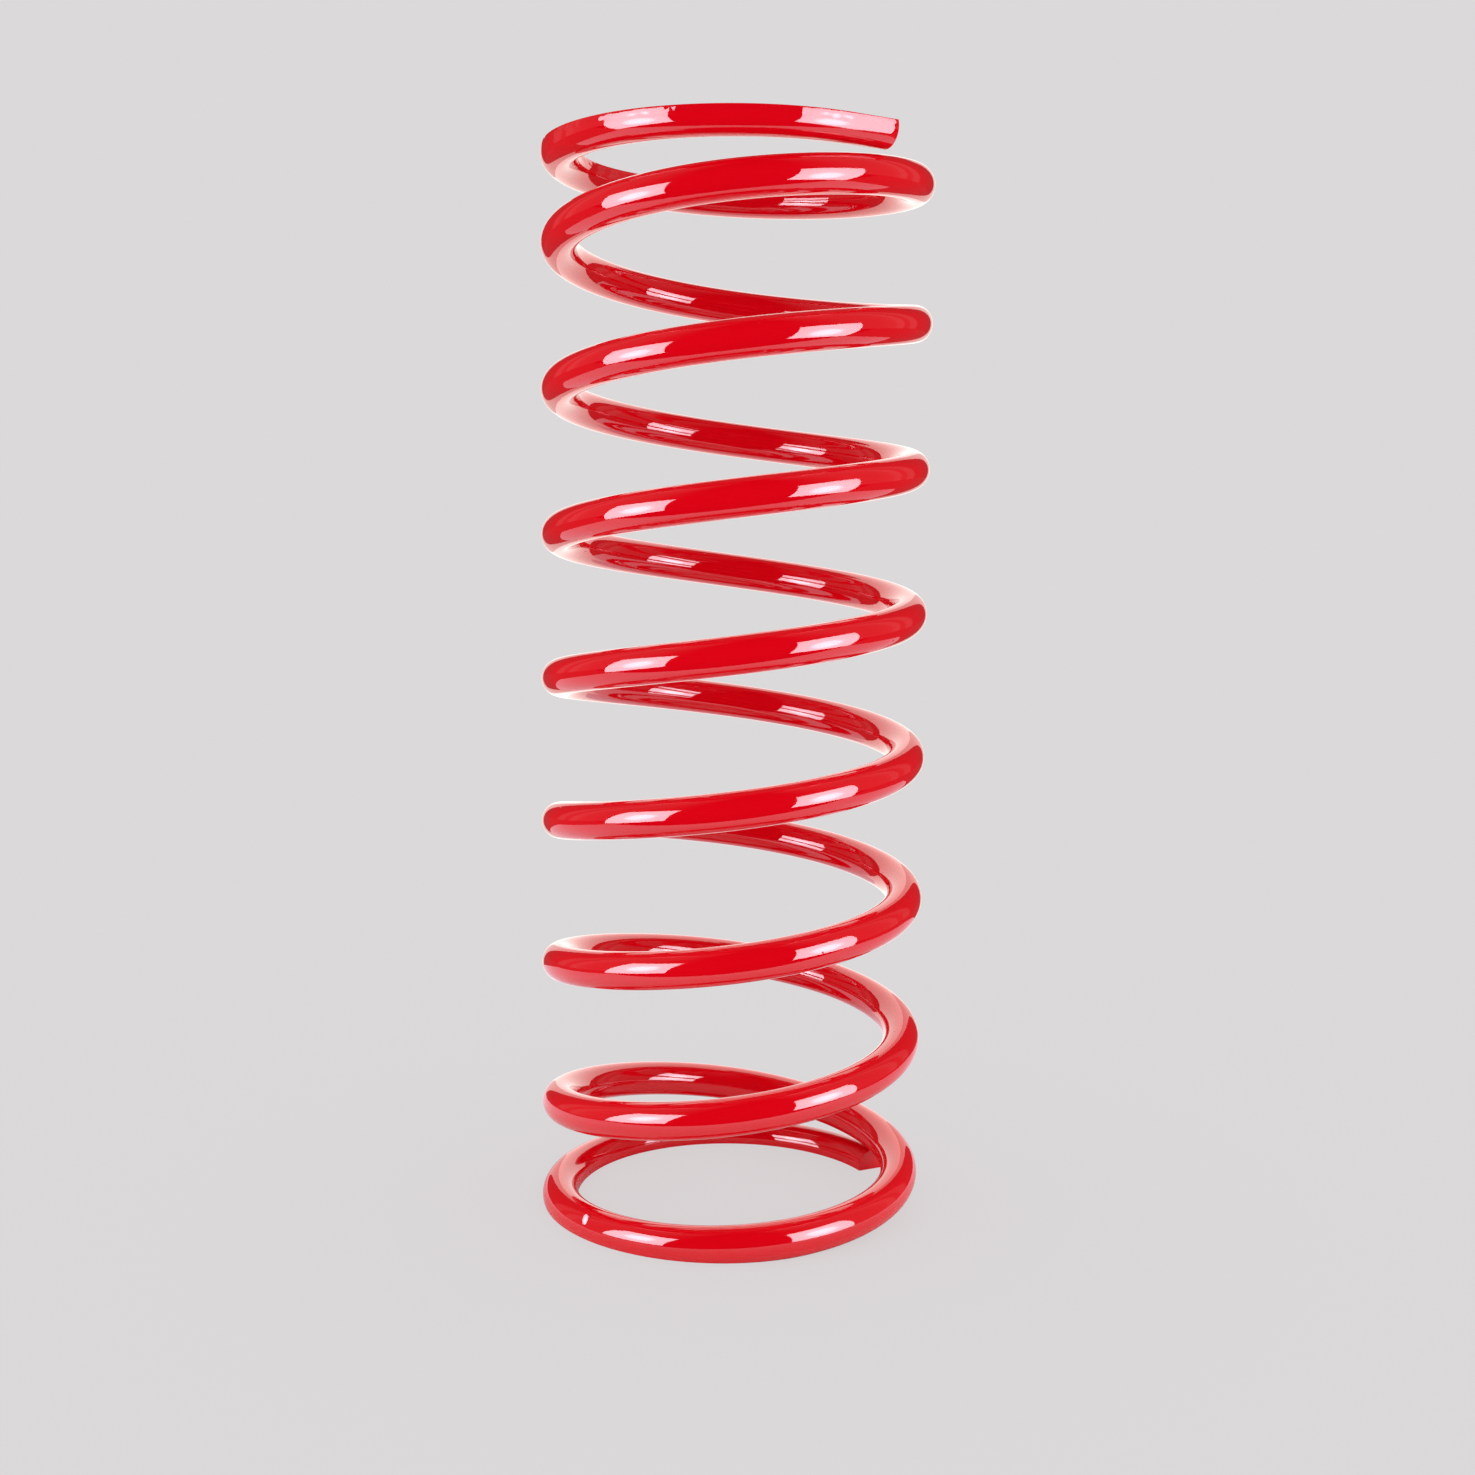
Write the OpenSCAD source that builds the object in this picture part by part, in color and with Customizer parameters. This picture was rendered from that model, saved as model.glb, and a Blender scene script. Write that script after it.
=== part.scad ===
// Helical compression spring with closed and ground ends, wound right-handed from one round wire.
// It stands on its lower ground face: z = 0 is that face and the coil's axis is the z axis.
// Lengths are in millimetres, angles in degrees. Angles round the coil run anticlockwise seen
// from above, 0 is to the right and the front of the spring faces -y.

/* [Coil] */
// Bore of the coil, the widest rod that passes through it
coil_bore = 60; // [50:1:80]
// Thickness of the round wire
wire = 7; // [5:0.5:8]
// Free length, from one ground face to the other
free_length = 202.5; // [185:0.5:230]
// Turns of wire from the lower tip to the upper tip
turns = 8.82; // [8:0.01:9.5]
// How much more than the mean the lowest open turn rises, and the highest one less
pitch_drift = 0.58; // [0:0.02:1]

/* [Ends] */
// Rise of a closed end turn, for one full turn
end_rise = 1.2; // [0.5:0.1:3]
// Angle from the lower tip over which the lower end turn stays closed
closed_low = 157; // [110:1:190]
// Angle from the upper tip over which the upper end turn stays closed
closed_high = 121; // [110:1:190]
// Gap between the lower tip and the turn above it
tip_gap_low = 0.25; // [0.2:0.05:1]
// Gap between the upper tip and the turn below it
tip_gap_high = 0.5; // [0.2:0.05:1]
// Thickness that grinding leaves at the lower tip, as a part of the wire's thickness
tip_left_low = 0.583; // [0.45:0.001:0.75]
// Thickness that grinding leaves at the upper tip, as a part of the wire's thickness
tip_left_high = 0.646; // [0.45:0.001:0.75]
// Direction of the lower tip
tip_direction = 27; // [0:1:359]

/* [Finish] */
// Colour of the glossy paint
paint = "#d40f1c";

/* [Hidden] */

// Sides of the wire's section and sections in one turn
sides = 16;
sections_per_turn = 40;
sections = ceil(turns * sections_per_turn);

// Radius of the circle that the middle of the wire follows
coil_radius = (coil_bore + wire) / 2;
// Radius to the corners of the section, so that its area is that of the round wire
corner_radius = wire / 2 * sqrt((2 * PI / sides) / sin(360 / sides));

// Heights of the wire's middle at the two tips
tip_height_low = wire * (tip_left_low - 0.5);
tip_height_high = free_length - wire * (tip_left_high - 0.5);

// Closed stretches in turns, and how fast the pitch grows behind each of them. The growth is set
// so that the wire has climbed its own thickness and the tip's gap one turn after the tip.
shut_low = closed_low / 360;
shut_high = closed_high / 360;
ease_low = pow(1 - shut_low, 2) / (2 * (wire + tip_gap_low - end_rise));
ease_high = pow(1 - shut_high, 2) / (2 * (wire + tip_gap_high - end_rise));

// Mean pitch of the open turns: the one that makes up the free length
ease = ease_low + ease_high;
reach = turns - shut_low - shut_high;
spare = tip_height_high - tip_height_low - end_rise * turns - ease * pitch_drift * pitch_drift / 2;
growth = (reach - sqrt(reach * reach - 2 * ease * spare)) / ease;
pitch = end_rise + growth;
pitch_low = pitch + pitch_drift;
pitch_high = pitch - pitch_drift;

// Lengths, in turns, of the two stretches that open and of the open middle between them
blend_low = (pitch_low - end_rise) * ease_low;
blend_high = (pitch_high - end_rise) * ease_high;
open = reach - blend_low - blend_high;

// Height gained at the place t in a stretch whose pitch changes evenly from one value to another
function gain(t, stretch, from, to) =
    let (u = min(max(t, 0), stretch)) from * u + (to - from) * u * u / (2 * stretch);

// Height of the wire's middle, t turns from the lower tip
function height(t) = tip_height_low
    + end_rise * min(t, shut_low)
    + gain(t - shut_low, blend_low, end_rise, pitch_low)
    + gain(t - shut_low - blend_low, open, pitch_low, pitch_high)
    + gain(t - shut_low - blend_low - open, blend_high, pitch_high, end_rise)
    + end_rise * max(t - turns + shut_high, 0);

// Steepness of the wire, t turns from the lower tip: rise over run
function slope(t) =
    let (d = 0.002) (height(t + d) - height(t - d)) / (2 * d) / (2 * PI * coil_radius);

// Angle round the section at which it meets a ground plane that lies dz away from its middle.
// A plane that misses the wire leaves the full round.
function ground_angle(dz, tall) =
    let (full = 90 - 180 / sides, s = dz / tall)
    s >= 1 ? full : s <= -1 ? -full : min(max(asin(s), -full), full);

// One section of the wire: up its outer side and down its inner side. It stands upright in the
// plane through the axis, so a climbing wire is taller there than it is thick.
function section(t) =
    let (
        z = height(t),
        tall = corner_radius * sqrt(1 + pow(slope(t), 2)),
        low = ground_angle(-z, tall),
        high = ground_angle(free_length - z, tall),
        half = sides / 2,
        a = tip_direction + 360 * t
    )
    [for (k = [0 : sides - 1])
        let (
            outer = k < half,
            step = outer ? k : sides - 1 - k,
            b = low + (high - low) * step / (half - 1),
            r = coil_radius + (outer ? 1 : -1) * corner_radius * cos(b)
        )
        [r * cos(a), r * sin(a), z + tall * sin(b)]];

// The wire, from the blunt cut at the lower tip to the blunt cut at the upper tip
module wound_wire() {
    points = [for (i = [0 : sections]) each section(turns * i / sections)];
    skin = [for (i = [0 : sections - 1], k = [0 : sides - 1])
        let (n = (k + 1) % sides, p = i * sides, q = p + sides)
        each [[p + k, p + n, q + n], [p + k, q + n, q + k]]];
    cut_low = [for (k = [0 : sides - 1]) sides - 1 - k];
    cut_high = [for (k = [0 : sides - 1]) sections * sides + k];
    color(paint) polyhedron(points, concat([cut_low], skin, [cut_high]), 8);
}

// The whole spring is one piece of wire
module spring() {
    wound_wire();
}

spring();
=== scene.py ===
# %% [markdown]
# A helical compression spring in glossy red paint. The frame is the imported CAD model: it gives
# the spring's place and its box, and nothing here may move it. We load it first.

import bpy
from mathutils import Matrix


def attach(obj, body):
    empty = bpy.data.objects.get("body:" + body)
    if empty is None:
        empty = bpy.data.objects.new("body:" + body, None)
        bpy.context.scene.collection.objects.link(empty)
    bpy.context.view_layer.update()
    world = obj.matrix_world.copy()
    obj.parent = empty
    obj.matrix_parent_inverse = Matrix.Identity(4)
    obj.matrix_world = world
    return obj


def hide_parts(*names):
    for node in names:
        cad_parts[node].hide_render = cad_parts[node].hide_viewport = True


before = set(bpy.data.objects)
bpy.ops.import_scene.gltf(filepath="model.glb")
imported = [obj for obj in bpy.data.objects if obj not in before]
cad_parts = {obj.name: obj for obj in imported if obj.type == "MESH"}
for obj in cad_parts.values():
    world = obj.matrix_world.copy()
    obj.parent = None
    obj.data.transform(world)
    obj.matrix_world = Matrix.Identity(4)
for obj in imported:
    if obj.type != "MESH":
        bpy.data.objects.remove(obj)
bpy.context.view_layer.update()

# %% Modules
from math import ceil, cos, pi, radians, sin, sqrt

import bmesh
import bpy
from mathutils import Matrix, Vector

MM = 0.001
scene = bpy.context.scene

# %% [markdown]
# The camera stands close to the spring, a little above its middle turns, and looks slightly
# down. That is why the upper turns bow upwards and the lower ones open into ovals. A camera
# this close needs its real distance, because no crop of a far view gives the same curves. It
# is built from the three directions of its frame: right, up and backwards.

# %% Camera
CAMERA_PLACE = (2.13 * MM, -352.9 * MM, 129.1 * MM)
PITCH_DOWN, YAW, ROLL = radians(6.091), radians(-0.208), radians(0.495)
SENSOR, LENS = 36, 44.57                # both in millimetres, as Blender takes them
NEAREST = 0.01                          # metres from the camera to the first thing it sees
ahead = Vector((sin(YAW) * cos(PITCH_DOWN), cos(YAW) * cos(PITCH_DOWN), -sin(PITCH_DOWN)))
level = Vector((cos(YAW), -sin(YAW), 0))
upright = level.cross(ahead)
right = cos(ROLL) * level + sin(ROLL) * upright
up = cos(ROLL) * upright - sin(ROLL) * level

camera = bpy.data.objects.new("Camera", bpy.data.cameras.new("Camera"))
scene.collection.objects.link(camera)
camera.matrix_world = Matrix.Translation(CAMERA_PLACE) @ Matrix(
    (right, up, -ahead)).transposed().to_4x4()
camera.data.sensor_fit = "HORIZONTAL"
camera.data.sensor_width = SENSOR
camera.data.lens = LENS
camera.data.clip_start = NEAREST
scene.camera = camera
print("camera at", [round(c, 4) for c in camera.location])

# %% [markdown]
# The spring is one round wire, bent into a coil against the pins of a coiling machine. Its sizes
# are those of the CAD model. The pitch isn't even: the end turns are wound nearly flat, so that
# they close on their neighbours, and the open turns between them drift a little. So the height
# of the wire follows a rule, and the rule has three parts: closed stretches at both ends, two
# short stretches in which the pitch opens, and the open middle.

# %% Sizes of the wire and the coil
WIRE = 7.0 * MM
BORE = 60 * MM
COIL_RADIUS = (BORE + WIRE) / 2
FREE_LENGTH = 202.5 * MM
TURNS = 8.82
TIP_DIRECTION = radians(27)
END_RISE = 1.2 * MM                          # rise of a closed end turn
SHUT_LOW, SHUT_HIGH = 157 / 360, 121 / 360   # closed stretches, in turns
TIP_GAP_LOW, TIP_GAP_HIGH = 0.25 * MM, 0.5 * MM
PITCH_DRIFT = 0.58 * MM
LEFT_LOW, LEFT_HIGH = 0.583, 0.646           # part of the wire that grinding leaves at each tip
TIP_LOW = WIRE * (LEFT_LOW - 0.5)            # heights of the wire's middle at its two tips
TIP_HIGH = FREE_LENGTH - WIRE * (LEFT_HIGH - 0.5)
print("outer diameter in mm:", round((BORE + 2 * WIRE) / MM, 1))

# %% Rule for the wire's height
STEP = 0.002                                 # turns over which the slope is taken
ease_low = (1 - SHUT_LOW) ** 2 / (2 * (WIRE + TIP_GAP_LOW - END_RISE))
ease_high = (1 - SHUT_HIGH) ** 2 / (2 * (WIRE + TIP_GAP_HIGH - END_RISE))
ease = ease_low + ease_high
reach = TURNS - SHUT_LOW - SHUT_HIGH
spare = TIP_HIGH - TIP_LOW - END_RISE * TURNS - ease * PITCH_DRIFT ** 2 / 2
pitch = END_RISE + (reach - sqrt(reach ** 2 - 2 * ease * spare)) / ease
pitch_low, pitch_high = pitch + PITCH_DRIFT, pitch - PITCH_DRIFT
blend_low = (pitch_low - END_RISE) * ease_low
blend_high = (pitch_high - END_RISE) * ease_high
middle = reach - blend_low - blend_high


def gain(t, stretch, first, last):
    """Height gained at t in a stretch whose pitch changes evenly from first to last."""
    u = min(max(t, 0), stretch)
    return first * u + (last - first) * u * u / (2 * stretch)


def height(t):
    """Height of the wire's middle, t turns from the lower tip."""
    t_open = t - SHUT_LOW - blend_low
    return (TIP_LOW + END_RISE * min(t, SHUT_LOW)
            + gain(t - SHUT_LOW, blend_low, END_RISE, pitch_low)
            + gain(t_open, middle, pitch_low, pitch_high)
            + gain(t_open - middle, blend_high, pitch_high, END_RISE)
            + END_RISE * max(t - TURNS + SHUT_HIGH, 0))


def slope(t):
    """Rise over run of the wire, t turns from the lower tip."""
    return (height(t + STEP) - height(t - STEP)) / (2 * STEP * 2 * pi * COIL_RADIUS)


print("pitch of the open turns in mm:", round(pitch_low / MM, 2), "to", round(pitch_high / MM, 2))

# %% [markdown]
# The wire is swept with a spin: a circle stands in the plane through the axis, and the spin
# carries it round the axis. A spin climbs evenly or not at all, so ours stays flat, and then each
# ring is lifted to its own height. It stays upright while the wire climbs, so it is stretched
# upwards a little too: a round wire that climbs is taller than thick in a plane through the
# axis. A curve with a round bevel would also do, but a curve can't be cut flat at its ends
# without becoming a mesh first. A spin slows down as its mesh grows, so the coil is spun one
# turn at a time, and the turns are joined where they meet. The last centimetre at the upper end
# isn't bent any more, because it has left the coiling pins, so those rings go straight on.

# %% Spin the wire, turn by turn
SIDES = 48
RINGS = 120                             # in one turn
TAIL = 19.2 / 360                       # the straight stretch at the upper end, in turns
TAIL_LENGTH = 9.5 * MM
JOIN = 0.001 * MM                       # points closer than this are one point
tail_bearing = TIP_DIRECTION + 2 * pi * (TURNS - TAIL)
tail_way = Vector((-sin(tail_bearing), cos(tail_bearing), 0))


def spun_turn(begin, end):
    """One turn or less of the wire, between two places given in turns from the lower tip."""
    turn = bmesh.new()
    steps = round((end - begin) * RINGS)
    bmesh.ops.create_circle(turn, cap_ends=False, segments=SIDES, radius=WIRE / 2)
    bmesh.ops.rotate(turn, cent=(0, 0, 0), matrix=Matrix.Rotation(pi / 2, 3, "X"),
                     verts=turn.verts[:])
    bmesh.ops.translate(turn, vec=(COIL_RADIUS, 0, 0), verts=turn.verts[:])
    bmesh.ops.rotate(turn, cent=(0, 0, 0), verts=turn.verts[:],
                     matrix=Matrix.Rotation(TIP_DIRECTION + 2 * pi * begin, 3, "Z"))
    bmesh.ops.spin(turn, geom=turn.verts[:] + turn.edges[:], cent=(0, 0, 0), axis=(0, 0, 1),
                   dvec=(0, 0, 0), angle=2 * pi * (end - begin), steps=steps, use_merge=False,
                   use_duplicate=False)
    for number, vertex in enumerate(turn.verts):      # the spin adds one ring after another
        t = begin + (end - begin) * (number // SIDES) / steps
        vertex.co.z = height(t) + vertex.co.z * sqrt(1 + slope(t) ** 2)
        past = t - (TURNS - TAIL)
        if past > 0:                    # straight on, in the direction the wire has there
            vertex.co = (Matrix.Rotation(-2 * pi * past, 3, "Z") @ vertex.co
                         + TAIL_LENGTH * past / TAIL * tail_way)
    return turn


wound = bmesh.new()
one_turn = bpy.data.meshes.new("one_turn")
for begin in range(ceil(TURNS)):
    turn = spun_turn(begin, min(begin + 1, TURNS))
    turn.to_mesh(one_turn)
    turn.free()
    wound.from_mesh(one_turn)
bpy.data.meshes.remove(one_turn)
doubles = len(wound.verts)
bmesh.ops.remove_doubles(wound, verts=wound.verts[:], dist=JOIN)
print("vertices:", len(wound.verts), "after joining", doubles - len(wound.verts), "doubles")

# %% [markdown]
# Both ends of the wire are cut off bluntly, and then a grinding wheel takes the end turns down
# to a flat face on which the spring stands. A bisect does here what the wheel does there: it
# removes all that reaches beyond the plane. The hole that it leaves is filled, and that face is
# kept flat, while the round of the wire is shaded smooth.

# %% Close the tips and grind the ends flat
ON_PLANE = 1e-7                         # metres from a plane at which a point lies on it
MOST_CORNERS = 12                       # a face with more corners is one of the filled flats
bmesh.ops.holes_fill(wound, edges=[e for e in wound.edges if e.is_boundary], sides=0)
for level_z, outwards in ((0, -1), (FREE_LENGTH, 1)):
    bmesh.ops.bisect_plane(wound, geom=wound.verts[:] + wound.edges[:] + wound.faces[:],
                           dist=ON_PLANE, plane_co=(0, 0, level_z), plane_no=(0, 0, outwards),
                           clear_outer=True)
    bmesh.ops.holes_fill(wound, edges=[e for e in wound.edges if e.is_boundary], sides=0)
bmesh.ops.remove_doubles(wound, verts=wound.verts[:], dist=JOIN)
bmesh.ops.recalc_face_normals(wound, faces=wound.faces[:])
flats = [f for f in wound.faces if len(f.verts) > MOST_CORNERS]
print("flat faces:", [(len(f.verts), round(f.calc_area() / MM ** 2, 1)) for f in flats], "mm2")

# %% [markdown]
# Paint rounds every edge a little, so the edges of the flats get a small bevel. Where the ground
# face runs out into the round of the wire it meets it at almost no angle, and there is nothing
# to round: only edges that really turn a corner are taken.

# %% Round the edges of the flats
EDGE_RADIUS = 0.22 * MM
SHARP = radians(24)                     # edges that turn more than this are corners
corner_edges = {e for f in flats for e in f.edges if e.calc_face_angle(0) > SHARP}
bmesh.ops.bevel(wound, geom=list(corner_edges), offset=EDGE_RADIUS, offset_type="OFFSET",
                segments=3, profile=0.5, affect="EDGES", clamp_overlap=True, material=-1)
for face in wound.faces:
    face.smooth = len(face.verts) <= MOST_CORNERS
print("rounded edges:", len(corner_edges), "faces now:", len(wound.faces))

# %% [markdown]
# What bmesh has built becomes a mesh, and the mesh becomes an object of the scene. The same two
# steps follow for the drop of paint, the table, the tent and the panels, so one function has
# them.

# %% Make the spring an object


def make_object(name, built):
    """An object in the scene whose mesh is what bmesh has built."""
    mesh = bpy.data.meshes.new(name)
    built.to_mesh(mesh)
    built.free()
    made = bpy.data.objects.new(name, mesh)
    scene.collection.objects.link(made)
    return made


wound_spring = make_object("wound_spring", wound)
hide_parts("spring")
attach(wound_spring, "root")
print("spring's triangles:", sum(len(p.vertices) - 2 for p in wound_spring.data.polygons))

# %% [markdown]
# A spring hangs on a hook while its wet paint runs, and one drop has stayed on the lowest turn.
# It is a shallow lens that hangs a little skew, so that most of it mirrors one bright patch. Its
# underside goes deep into the wire, so no gap shows from the side. A bump in the material would
# leave the drop flat at the edge of the wire.

# %% Paint drop
DROP_TURN, DROP_TILT = 0.5445, 0.72     # turns from the lower tip, and radians up the section
DROP_HALF = (0.8 * MM, 0.14 * MM, 0.95 * MM)
DROP_LIFT = 0.17 * MM                   # from the wire's surface out to the drop's middle
DROP_DEPTH, DROP_SAG = 4, 1.35          # how much longer the inner and the lower half are
DROP_FACING = (-0.368, -0.792, 0.487)   # half-way between the camera and the left light panel
drop_angle = TIP_DIRECTION + 2 * pi * DROP_TURN
outward = Vector((cos(drop_angle), sin(drop_angle), 0))
off_wire = cos(DROP_TILT) * outward + sin(DROP_TILT) * Vector((0, 0, 1))
drop_place = (COIL_RADIUS * outward + Vector((0, 0, height(DROP_TURN)))
              + (WIRE / 2 + DROP_LIFT) * off_wire)
drop_out = Vector(DROP_FACING).normalized()
drop_along = Vector((-drop_out.y, drop_out.x, 0)).normalized()
drop_up = drop_out.cross(drop_along)

drop = bmesh.new()
bmesh.ops.create_uvsphere(drop, u_segments=32, v_segments=24, radius=1)
bmesh.ops.scale(drop, vec=(1, DROP_DEPTH, 1), verts=[v for v in drop.verts if v.co.y < 0])
bmesh.ops.scale(drop, vec=(1, 1, DROP_SAG), verts=[v for v in drop.verts if v.co.z < 0])
bmesh.ops.scale(drop, vec=DROP_HALF, verts=drop.verts[:])
bmesh.ops.transform(drop, verts=drop.verts[:], matrix=Matrix.Translation(drop_place) @ Matrix(
    (drop_along, drop_out, drop_up)).transposed().to_4x4())
bmesh.ops.recalc_face_normals(drop, faces=drop.faces[:])
for face in drop.faces:
    face.smooth = True
paint_drop = make_object("paint_drop", drop)
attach(paint_drop, "root")
print("drop at", [round(c / MM, 1) for c in drop_place], "mm")

# %% [markdown]
# Three helpers for the materials. Colours are written as they look on a screen, and the renderer
# reckons with light, so one function turns the one into the other. The second adds a node with
# its settings, and takes either a value or another node's output for each socket. The third
# starts a material with nothing in it, so that each material below shows all of its nodes.

# %% Helpers for materials


def linear(hex_colour):
    """Linear colour, with alpha, of an sRGB hex value."""
    parts = [int(hex_colour[i:i + 2], 16) / 255 for i in (1, 3, 5)]
    return (*(c / 12.92 if c <= 0.04045 else ((c + 0.055) / 1.055) ** 2.4 for c in parts), 1)


def add_node(tree, kind, sockets=None, **settings):
    """Adds a node. sockets gives a value or another node's output for an input."""
    made = tree.nodes.new(kind)
    for name, value in settings.items():
        setattr(made, name, value)
    for name, value in (sockets or {}).items():
        if isinstance(value, bpy.types.NodeSocket):
            tree.links.new(value, made.inputs[name])
        else:
            made.inputs[name].default_value = value
    return made


def new_material(name):
    """A material with an empty node tree, and that tree."""
    material = bpy.data.materials.new(name)
    material.use_nodes = True
    material.node_tree.nodes.clear()
    return material, material.node_tree


print("a screen's middle grey in linear light:", round(linear("#808080")[0], 3))

# %% [markdown]
# The finish is stove enamel over steel wire: one thick film, sprayed wet and baked. Its surface
# mirrors the room, so its shape shows in the glints. The film levels out while it is wet, but it
# isn't a perfect mirror. It has long waves that bend a reflection, and a faint orange peel of
# waves 2 mm long that makes its edges swim. At the sharp edge of the upper ground face the wet
# paint draws itself into a bead. The bead keeps the film upright there, so the glints run on up
# to the edge, and it begins in a ragged line. Some grains of dust have settled in the film. All
# of this could be modelled, but it is far lower than the wire is thick, so it is drawn by bump
# nodes. They stand in a row, and each one passes its normal on to the next.

# %% Relief of the red stove enamel
WAVE_SIZE, WAVE_HEIGHT = 9 * MM, 0.03 * MM
PEEL_SIZE, PEEL_HEIGHT = 2.2 * MM, 0.003 * MM
DUST_SPACING, DUST_SIZE, DUST_HEIGHT = 4.5 * MM, 0.06, 0.05 * MM   # the size in spacings
BEAD_WIDTH, BEAD_SLOPE, BEAD_ROUND = 0.75 * MM, 0.28, 0.5 * MM
RAGGED, RAGGED_SIZE = 0.5 * MM, 1.9 * MM

stove_enamel, tree = new_material("red_stove_enamel")
place = add_node(tree, "ShaderNodeTexCoord").outputs["Object"]
ragged, waves, peel = (
    add_node(tree, "ShaderNodeTexNoise", {"Vector": place, "Scale": 1 / size, "Detail": detail})
    for size, detail in ((RAGGED_SIZE, 0.0), (WAVE_SIZE, 1.0), (PEEL_SIZE, 1.0)))
height_z = add_node(tree, "ShaderNodeSeparateXYZ", {"Vector": place}).outputs["Z"]
above = add_node(tree, "ShaderNodeMath", {0: height_z, 1: FREE_LENGTH - BEAD_WIDTH - RAGGED / 2},
                 operation="SUBTRACT")
wobbly = add_node(tree, "ShaderNodeMath", {
    0: ragged.outputs["Fac"], 1: RAGGED, 2: above.outputs[0]}, operation="MULTIPLY_ADD")
bead = add_node(tree, "ShaderNodeMath", {0: wobbly.outputs[0], 1: 0.0, 2: BEAD_ROUND},
                operation="SMOOTH_MAX")
dust = add_node(tree, "ShaderNodeTexVoronoi", {"Vector": place, "Scale": 1 / DUST_SPACING})
dust = add_node(tree, "ShaderNodeMapRange", {
    "Value": dust.outputs["Distance"], "From Min": DUST_SIZE, "From Max": 0.0},
    interpolation_type="SMOOTHSTEP")
normal = None
for relief, tall in ((waves.outputs["Fac"], WAVE_HEIGHT), (peel.outputs["Fac"], PEEL_HEIGHT),
                     (bead.outputs[0], BEAD_SLOPE), (dust.outputs[0], DUST_HEIGHT)):
    sockets = {"Height": relief, "Strength": 1.0, "Distance": tall}
    if normal:
        sockets["Normal"] = normal
    normal = add_node(tree, "ShaderNodeBump", sockets).outputs["Normal"]
print("relief nodes:", len(tree.nodes))

# %% [markdown]
# Pigment in the film scatters the red. It lies a little thinner here and thicker there, and the
# gloss is a little uneven with it. On the inner side of the coil the red is painted deeper: this
# is painted shade, because the inner sides get less light than the fronts of the turns. Resin
# alone has an index near 1.5, and a resin full of pigment is denser, so 1.7 gives glints as strong
# as the photograph's. A clear coat over the colour would mirror the room twice, so there is only
# one film.

# %% Colour and gloss of the red stove enamel
INDEX = 1.7                             # of refraction
GLOSSIEST, DULLEST = 0.02, 0.05         # roughness
RED_THIN, RED_THICK = linear("#d30313"), linear("#df0415")
PATCH_SIZE = 26 * MM
INNER_SHADE = (0.88, 0.7, 0.8, 1)        # painted shade: what is left of the red on the inner side of the coil
INNER_BEGIN, INNER_END = COIL_RADIUS + 0.5 * MM, COIL_RADIUS - 2 * MM

patches = add_node(tree, "ShaderNodeTexNoise", {
    "Vector": place, "Scale": 1 / PATCH_SIZE, "Detail": 3.0})
red = add_node(tree, "ShaderNodeMix", {
    "Factor": patches.outputs["Fac"], "A": RED_THIN, "B": RED_THICK}, data_type="RGBA")
across = add_node(tree, "ShaderNodeVectorMath", {0: place, 1: (1, 1, 0)}, operation="MULTIPLY")
from_axis = add_node(tree, "ShaderNodeVectorMath", {0: across.outputs[0]}, operation="LENGTH")
# Painted shade: the red grows darker towards the inner side of the coil, where less light falls.
inner_shade_mask = add_node(tree, "ShaderNodeMapRange", {
    "Value": from_axis.outputs["Value"], "From Min": INNER_BEGIN, "From Max": INNER_END},
    interpolation_type="SMOOTHSTEP")
red = add_node(tree, "ShaderNodeMix", {
    "Factor": inner_shade_mask.outputs[0], "A": red.outputs["Result"], "B": INNER_SHADE},
    data_type="RGBA", blend_type="MULTIPLY")
dull = add_node(tree, "ShaderNodeMapRange", {
    "Value": patches.outputs["Fac"], "To Min": GLOSSIEST, "To Max": DULLEST})
enamel = add_node(tree, "ShaderNodeBsdfPrincipled", {
    "Base Color": red.outputs["Result"], "Roughness": dull.outputs[0], "IOR": INDEX,
    "Normal": normal})
add_node(tree, "ShaderNodeOutputMaterial", {"Surface": enamel.outputs["BSDF"]})
for piece in (wound_spring, paint_drop):
    piece.data.materials.append(stove_enamel)
print("enamel nodes:", len(tree.nodes))

# %% [markdown]
# The spring stands on pale paper. The camera sees paper as far as it looks, and the gloss shows
# where the table under it ends: the lower side of each turn mirrors a pale band that stops
# sharply, because the table's edge is close in front of the spring. Two planes, a table and a
# floor, would show an edge to the camera too. So there is one wide plane, and its material works
# out which places of it are on the table. It is stage, which the picture needs and the part
# doesn't, and so are the tent and the panels further on.

# %% Place of the table
FLOOR, FLOOR_DROP = 12, 0.05 * MM       # width in metres, and how far it lies under the spring
TABLE = {"left": -285 * MM, "right": 275 * MM, "front": -106 * MM, "back": 170 * MM}


def stage_plane(name, size_x, size_y, matrix):
    """A flat stage object, which is scenery and no part of the spring."""
    plane = bmesh.new()
    bmesh.ops.create_grid(plane, x_segments=1, y_segments=1, size=0.5)
    bmesh.ops.scale(plane, vec=(size_x, size_y, 1), verts=plane.verts[:])
    made = make_object(name, plane)
    made.matrix_world = matrix
    return made


table = stage_plane("table", FLOOR, FLOOR, Matrix.Translation((0, 0, -FLOOR_DROP)))
table_paper, tree = new_material("matt_table_paper")
place = add_node(tree, "ShaderNodeTexCoord").outputs["Object"]
along = add_node(tree, "ShaderNodeSeparateXYZ", {"Vector": place})
on_table = 1.0
for axis, limit, side in (("X", "left", "GREATER_THAN"), ("X", "right", "LESS_THAN"),
                          ("Y", "front", "GREATER_THAN"), ("Y", "back", "LESS_THAN")):
    inside = add_node(tree, "ShaderNodeMath", {0: along.outputs[axis], 1: TABLE[limit]},
                      operation=side)
    on_table = add_node(tree, "ShaderNodeMath", {0: on_table, 1: inside.outputs[0]},
                        operation="MULTIPLY").outputs[0]
beyond = add_node(tree, "ShaderNodeMath", {0: 1.0, 1: on_table}, operation="SUBTRACT")
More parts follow.
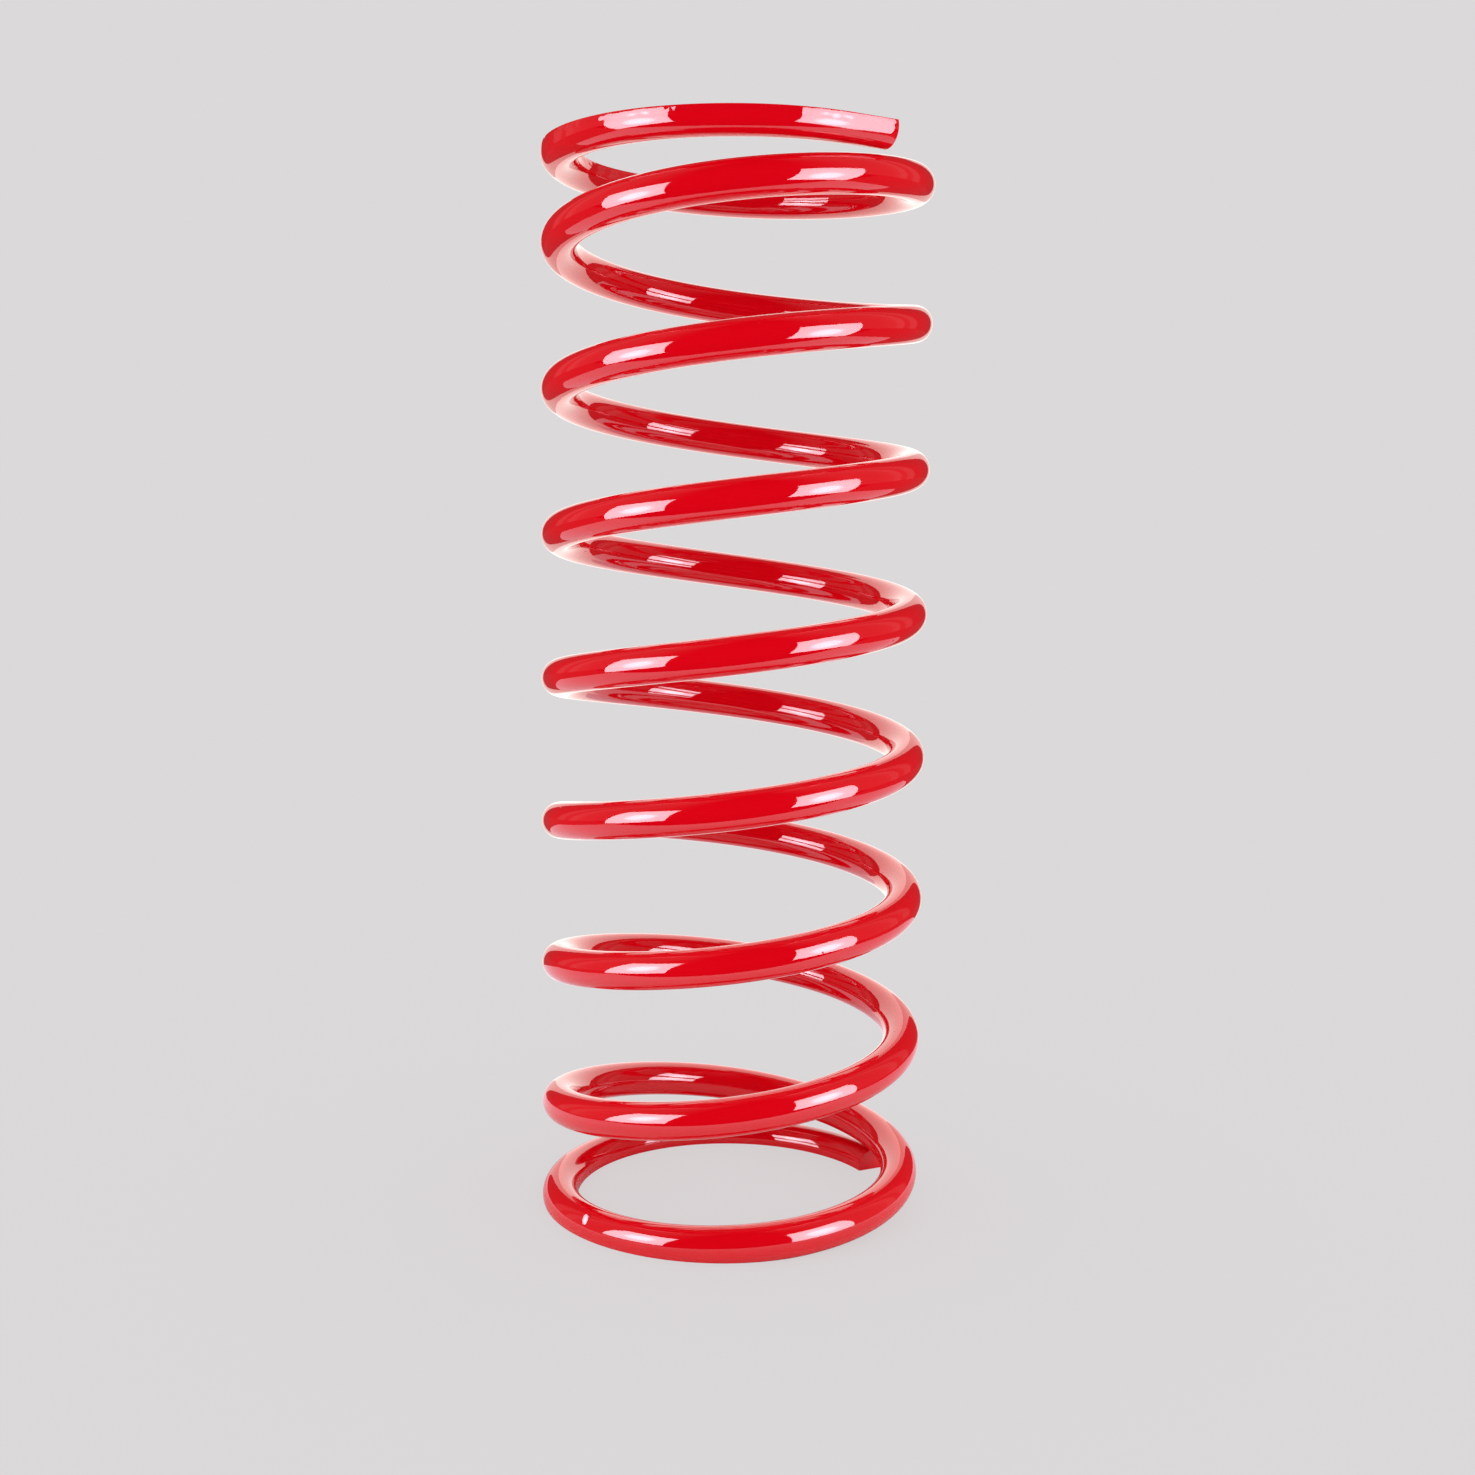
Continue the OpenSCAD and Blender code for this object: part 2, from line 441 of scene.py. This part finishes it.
print("table in mm:", {limit: round(value / MM) for limit, value in TABLE.items()})

# %% [markdown]
# The paper is matt and has no gloss. For the camera it is partly lit by the scene, which gives
# the soft shadow, and mostly an even tone. For the spring it is lit paper, with the lamps' light
# painted in as a glow, because the lamps themselves light the spring alone. A glossy ray that
# meets the floor beyond the table sees a dim room, and in front of the table it sees black. Close
# to the ring the glow fades as painted shade of the ring, so the band on the lowest turns is
# darker.

# %% Matt paper of the table
PALE = linear("#dbd9da")
EVENNESS = 0.84                         # how much of the floor's tone no shadow touches
LAMP_TINT = linear("#e0e4ff")
LAMP_SHARE, GLOSS_SHARE = 0.3, 0.4      # painted lamp light: what the glow adds to the paper, in light and in gloss
SHADED, UNSHADED = 40 * MM, 100 * MM    # from the axis: where the painted shade of the ring is full, and where it ends
DIM = 0.13                              # tone of the room beside the table and behind it

ray = add_node(tree, "ShaderNodeLightPath")
dim = add_node(tree, "ShaderNodeMath",
               {0: beyond.outputs[0], 1: ray.outputs["Is Glossy Ray"]}, operation="MULTIPLY")
not_in_front = add_node(tree, "ShaderNodeMath", {0: along.outputs["Y"], 1: TABLE["front"]},
                        operation="GREATER_THAN")
dimness = add_node(tree, "ShaderNodeMath", {0: not_in_front.outputs[0], 1: DIM},
                   operation="MULTIPLY")
paper = add_node(tree, "ShaderNodeBsdfDiffuse", {"Color": PALE})
even = add_node(tree, "ShaderNodeEmission", {"Color": PALE, "Strength": 1.0})
for_camera = add_node(tree, "ShaderNodeMixShader",
                      {0: EVENNESS, 1: paper.outputs[0], 2: even.outputs[0]})
from_axis = add_node(tree, "ShaderNodeVectorMath", {0: place}, operation="LENGTH")
# Painted shade: the glow seen in gloss fades towards the ring.
in_gloss = add_node(tree, "ShaderNodeMapRange", {
    "Value": from_axis.outputs["Value"], "From Min": SHADED, "From Max": UNSHADED,
    "To Min": 0.0, "To Max": GLOSS_SHARE})
lamp_share = add_node(tree, "ShaderNodeMix", {
    "Factor": ray.outputs["Is Glossy Ray"], "A": LAMP_SHARE, "B": in_gloss.outputs[0]})
glow = add_node(tree, "ShaderNodeEmission", {
    "Color": LAMP_TINT, "Strength": lamp_share.outputs["Result"]})
lit_paper = add_node(tree, "ShaderNodeAddShader", {0: paper.outputs[0], 1: glow.outputs[0]})
dim_room = add_node(tree, "ShaderNodeEmission", {"Color": PALE, "Strength": dimness.outputs[0]})
for_spring = add_node(tree, "ShaderNodeMixShader",
                      {0: dim.outputs[0], 1: lit_paper.outputs[0], 2: dim_room.outputs[0]})
seen = add_node(tree, "ShaderNodeMixShader", {
    0: ray.outputs["Is Camera Ray"], 1: for_spring.outputs[0], 2: for_camera.outputs[0]})
add_node(tree, "ShaderNodeOutputMaterial", {"Surface": seen.outputs[0]})
table_paper.cycles.emission_sampling = "NONE"
table.data.materials.append(table_paper)
print("table nodes:", len(tree.nodes))

# %% [markdown]
# The light is soft and comes from all round, so that a colour looks about as it is written. The
# camera sees a pale wall, and glossy and clear things would show the same wall. The sky is
# sampled only by the rays that leave the surfaces, which keeps light and look apart.

# %% World
HORIZON, ZENITH = 1.17, 0.915
world = bpy.data.worlds.new("studio")
scene.world = world
world.use_nodes = True
tree = world.node_tree
tree.nodes.clear()
world.cycles.sampling_method = "NONE"
ray = add_node(tree, "ShaderNodeLightPath")
looks = ray.outputs["Is Camera Ray"]
for kind in ("Is Glossy Ray", "Is Transmission Ray"):
    looks = add_node(tree, "ShaderNodeMath", {0: looks, 1: ray.outputs[kind]},
                     operation="MAXIMUM").outputs[0]
direction = add_node(tree, "ShaderNodeTexCoord").outputs["Generated"]
direction = add_node(tree, "ShaderNodeSeparateXYZ", {"Vector": direction})
brightness = add_node(tree, "ShaderNodeMapRange", {
    "Value": direction.outputs["Z"], "To Min": HORIZON, "To Max": ZENITH})
all_round = add_node(tree, "ShaderNodeBackground", {
    "Color": (1, 1, 1, 1), "Strength": brightness.outputs[0]})
wall = add_node(tree, "ShaderNodeBackground", {"Color": PALE, "Strength": 1.0})
shown = add_node(tree, "ShaderNodeMixShader",
                 {0: looks, 1: all_round.outputs[0], 2: wall.outputs[0]})
add_node(tree, "ShaderNodeOutputWorld", {"Surface": shown.outputs[0]})
print("world nodes:", len(tree.nodes))

# %% [markdown]
# A glossy thing shows the room more than its own colour. The photographer's answer is a tent of
# dark cloth round the set: it is black where the camera stands, which keeps the front of each
# turn a deep red, and a little lighter to the sides. Lighter and darker lengths of cloth hang
# next to each other towards the back, and the ends of the turns mirror them as narrow arcs. A
# colour ramp holds the tones of the cloth. It has two stops from the start, its first and its
# last, and the others are added between them. Only the gloss sees the tent, and light passes
# through it.

# %% Dark tent
TENT_RADIUS = 2.5
TENT_STOPS = ((0.0, 0.0), (0.08, 0.002), (0.2, 0.08), (0.37, 0.2), (0.50, 0.19), (0.62, 0.23),
              (0.64, 0.31), (0.687, 0.31), (0.70, 0.14), (0.74, 0.14), (0.75, 0.24), (0.80, 0.22),
              (0.82, 0.07), (0.94, 0.06), (1.0, 0.1))   # from the camera's side round to the back


def only_gloss_sees(thing):
    """Hides a stage object from the camera, and lets light pass through it."""
    thing.visible_camera = thing.visible_diffuse = thing.visible_shadow = False


def fill_ramp(node, stops):
    """Gives a colour ramp its stops, each a place and a colour. They run from 0 to 1."""
    elements = node.color_ramp.elements
    for number, (stop, colour) in enumerate(stops):
        inner = 0 < number < len(stops) - 1
        point = elements.new(stop) if inner else elements[0 if number == 0 else -1]
        point.color = colour


tent_ball = bmesh.new()
bmesh.ops.create_uvsphere(tent_ball, u_segments=48, v_segments=24, radius=TENT_RADIUS)
tent = make_object("dark_tent", tent_ball)
only_gloss_sees(tent)

tent_cloth, tree = new_material("dark_tent_cloth")
place = add_node(tree, "ShaderNodeTexCoord").outputs["Object"]
across = add_node(tree, "ShaderNodeVectorMath", {0: place, 1: (1, 1, 0)}, operation="MULTIPLY")
bearing = add_node(tree, "ShaderNodeVectorMath", {0: across.outputs[0]}, operation="NORMALIZE")
bearing = add_node(tree, "ShaderNodeSeparateXYZ", {"Vector": bearing.outputs[0]})
to_back = add_node(tree, "ShaderNodeMapRange", {"Value": bearing.outputs["Y"], "From Min": -1.0})
shade = add_node(tree, "ShaderNodeValToRGB", {"Fac": to_back.outputs[0]})
fill_ramp(shade, [(stop, (value, value, value, 1)) for stop, value in TENT_STOPS])
cloth = add_node(tree, "ShaderNodeEmission", {"Color": shade.outputs["Color"], "Strength": 1.0})
add_node(tree, "ShaderNodeOutputMaterial", {"Surface": cloth.outputs[0]})
tent.data.materials.append(tent_cloth)
tent_cloth.cycles.emission_sampling = "NONE"
print("lengths of cloth in the tent:", len(TENT_STOPS))

# %% [markdown]
# A light panel is a cloth with a lamp behind it. It is brightest in front of the lamp and falls
# off towards its rim, so its light is a colour ramp over the distance from its core. An area lamp
# would be mirrored too, but as one even rectangle. The panels are planes that give light of their
# own, and they are made to be seen in gloss only.

# %% Build a light panel
SPREAD = 1.3                            # how soon the light falls off with the distance


def turned_to(way):
    """The turn that makes a panel or a lamp face a level direction."""
    return Vector((*way, 0)).to_track_quat("-Z", "Y").to_matrix().to_4x4()


def light_panel(name, centre, width, tall, core, stops, tint, way):
    """An upright panel that faces a level direction, with its bright core off its middle."""
    panel = stage_plane(name, width, tall, Matrix.Translation(centre) @ turned_to(way))
    only_gloss_sees(panel)
    diffuser, tree = new_material(name + "_diffuser")
    place = add_node(tree, "ShaderNodeTexCoord").outputs["Object"]
    shifted = add_node(tree, "ShaderNodeVectorMath", {0: place, 1: (*core, 0)},
                       operation="SUBTRACT")
    scaled = add_node(tree, "ShaderNodeVectorMath",
                      {0: shifted.outputs[0], 1: (1 / width, 1 / tall, 0)}, operation="MULTIPLY")
    away = add_node(tree, "ShaderNodeVectorMath", {0: scaled.outputs[0]}, operation="LENGTH")
    away = add_node(tree, "ShaderNodeMath", {0: away.outputs["Value"], 1: SPREAD},
                    operation="MULTIPLY")
    fall = add_node(tree, "ShaderNodeValToRGB", {"Fac": away.outputs[0]})
    brightest = stops[0][1]
    fill_ramp(fall, [(stop, (*(c * value / brightest for c in tint[:3]), 1))
                     for stop, value in stops])
    lit = add_node(tree, "ShaderNodeEmission",
                   {"Color": fall.outputs["Color"], "Strength": brightest})
    add_node(tree, "ShaderNodeOutputMaterial", {"Surface": lit.outputs[0]})
    diffuser.cycles.emission_sampling = "NONE"
    panel.data.materials.append(diffuser)
    print(name, round(width / MM), "by", round(tall / MM), "mm")


# %% [markdown]
# Two light panels stand close to the spring, left and right of the camera, and draw the two
# rectangular glints on the front of every turn.

# %% Put up the two light panels
PANEL_STOPS = ((0.0, 15.0), (0.24, 13.5), (0.36, 8.9), (0.70, 7.8), (1.0, 5.8))
COOL_WHITE = linear("#eaf2ff")


def beside(bearing, distance, level_z):
    """A place round the spring. Bearing 0 is towards the camera, and right is positive."""
    return (distance * sin(bearing), -distance * cos(bearing), level_z)


def to_axis(spot):
    """The level direction from a place to the spring's axis."""
    return (-spot[0], -spot[1])


left_spot = beside(radians(-56), 285 * MM, 148 * MM)
right_spot = beside(radians(53), 295 * MM, 132 * MM)
for name, spot, width, tall, core in (
        ("left_panel", left_spot, 200 * MM, 258 * MM, (9 * MM, -18 * MM)),
        ("right_panel", right_spot, 208 * MM, 300 * MM, (-5 * MM, -24 * MM))):
    light_panel(name, spot, width, tall, core, PANEL_STOPS, COOL_WHITE, to_axis(spot))

# %% [markdown]
# Behind the spring stands a shallow trough of white cards: one card, a wing on either side of
# it, and a flap that comes forward between the two. The inner sides of the bends mirror the card
# and the flaps, and nearly vanish in the pale wall, as in the photograph. The outer rims see only
# the wings, which are dimmer, so no white line is drawn round the turns. A card is built as a
# panel that is equally bright all over.

# %% Put up the white cards
CARD_LIGHT, WING_LIGHT = 1.65, 0.95
WARM_WHITE = linear("#fffaf4")
BACK, FLAP_MIDDLE = 160 * MM, 132 * MM  # how far behind the axis they stand
CARD_HALF, WING, FLAP = 54 * MM, 46 * MM, 56 * MM
CARD_LEVEL, CARD_HEIGHT = 150 * MM, 300 * MM


def white_card(name, x, y, width, light, way):
    """A card that stands at a place behind the spring and faces a level direction."""
    light_panel(name, (x, y, CARD_LEVEL), width, CARD_HEIGHT, (0, 0), ((0.0, light), (1.0, light)),
                WARM_WHITE, way)


white_card("back_card", 0, BACK, 2 * CARD_HALF, CARD_LIGHT, (0, -1))
for side, name in ((-1, "left"), (1, "right")):
    white_card(name + "_wing", side * (CARD_HALF + WING / 2), BACK, WING, WING_LIGHT, (0, -1))
    white_card(name + "_flap", side * CARD_HALF, FLAP_MIDDLE, FLAP, CARD_LIGHT, (-side, 0))

# %% [markdown]
# What the panels throw on the paint comes from plain area lamps, which no gloss shows: two in the
# places of the panels, and two more at the sides, a little behind the spring, for the red of the
# bends. They light the spring alone, so the table keeps its even tone and one soft shadow.

# %% Lamps
PANEL_LIGHT, SIDE_LIGHT = 0.55, 0.8
LAMP_WIDTH, LAMP_HEIGHT = 208 * MM, 295 * MM
SIDE_BEARING, SIDE_DISTANCE, SIDE_LEVEL = radians(118), 300 * MM, 170 * MM
lit_by_lamps = bpy.data.collections.new("lit_by_lamps")
for piece in (wound_spring, paint_drop):
    lit_by_lamps.objects.link(piece)
for name, spot, light in (
        ("left_lamp", left_spot, PANEL_LIGHT), ("right_lamp", right_spot, PANEL_LIGHT),
        ("left_side_lamp", beside(-SIDE_BEARING, SIDE_DISTANCE, SIDE_LEVEL), SIDE_LIGHT),
        ("right_side_lamp", beside(SIDE_BEARING, SIDE_DISTANCE, SIDE_LEVEL), SIDE_LIGHT)):
    lamp_data = bpy.data.lights.new(name, "AREA")
    lamp_data.shape = "RECTANGLE"
    lamp_data.size, lamp_data.size_y = LAMP_WIDTH, LAMP_HEIGHT
    lamp_data.energy = light * pi * LAMP_WIDTH * LAMP_HEIGHT
    lamp = bpy.data.objects.new(name, lamp_data)
    scene.collection.objects.link(lamp)
    lamp.matrix_world = Matrix.Translation(spot) @ turned_to(to_axis(spot))
    lamp.visible_camera = lamp.visible_glossy = False
    lamp.light_linking.receiver_collection = lit_by_lamps
    print(name, "gives", round(lamp_data.energy, 3), "W")

# %% [markdown]
# The picture keeps plain colours: the Standard view leaves them as the materials say.

# %% Finish
scene.view_settings.view_transform = "Standard"
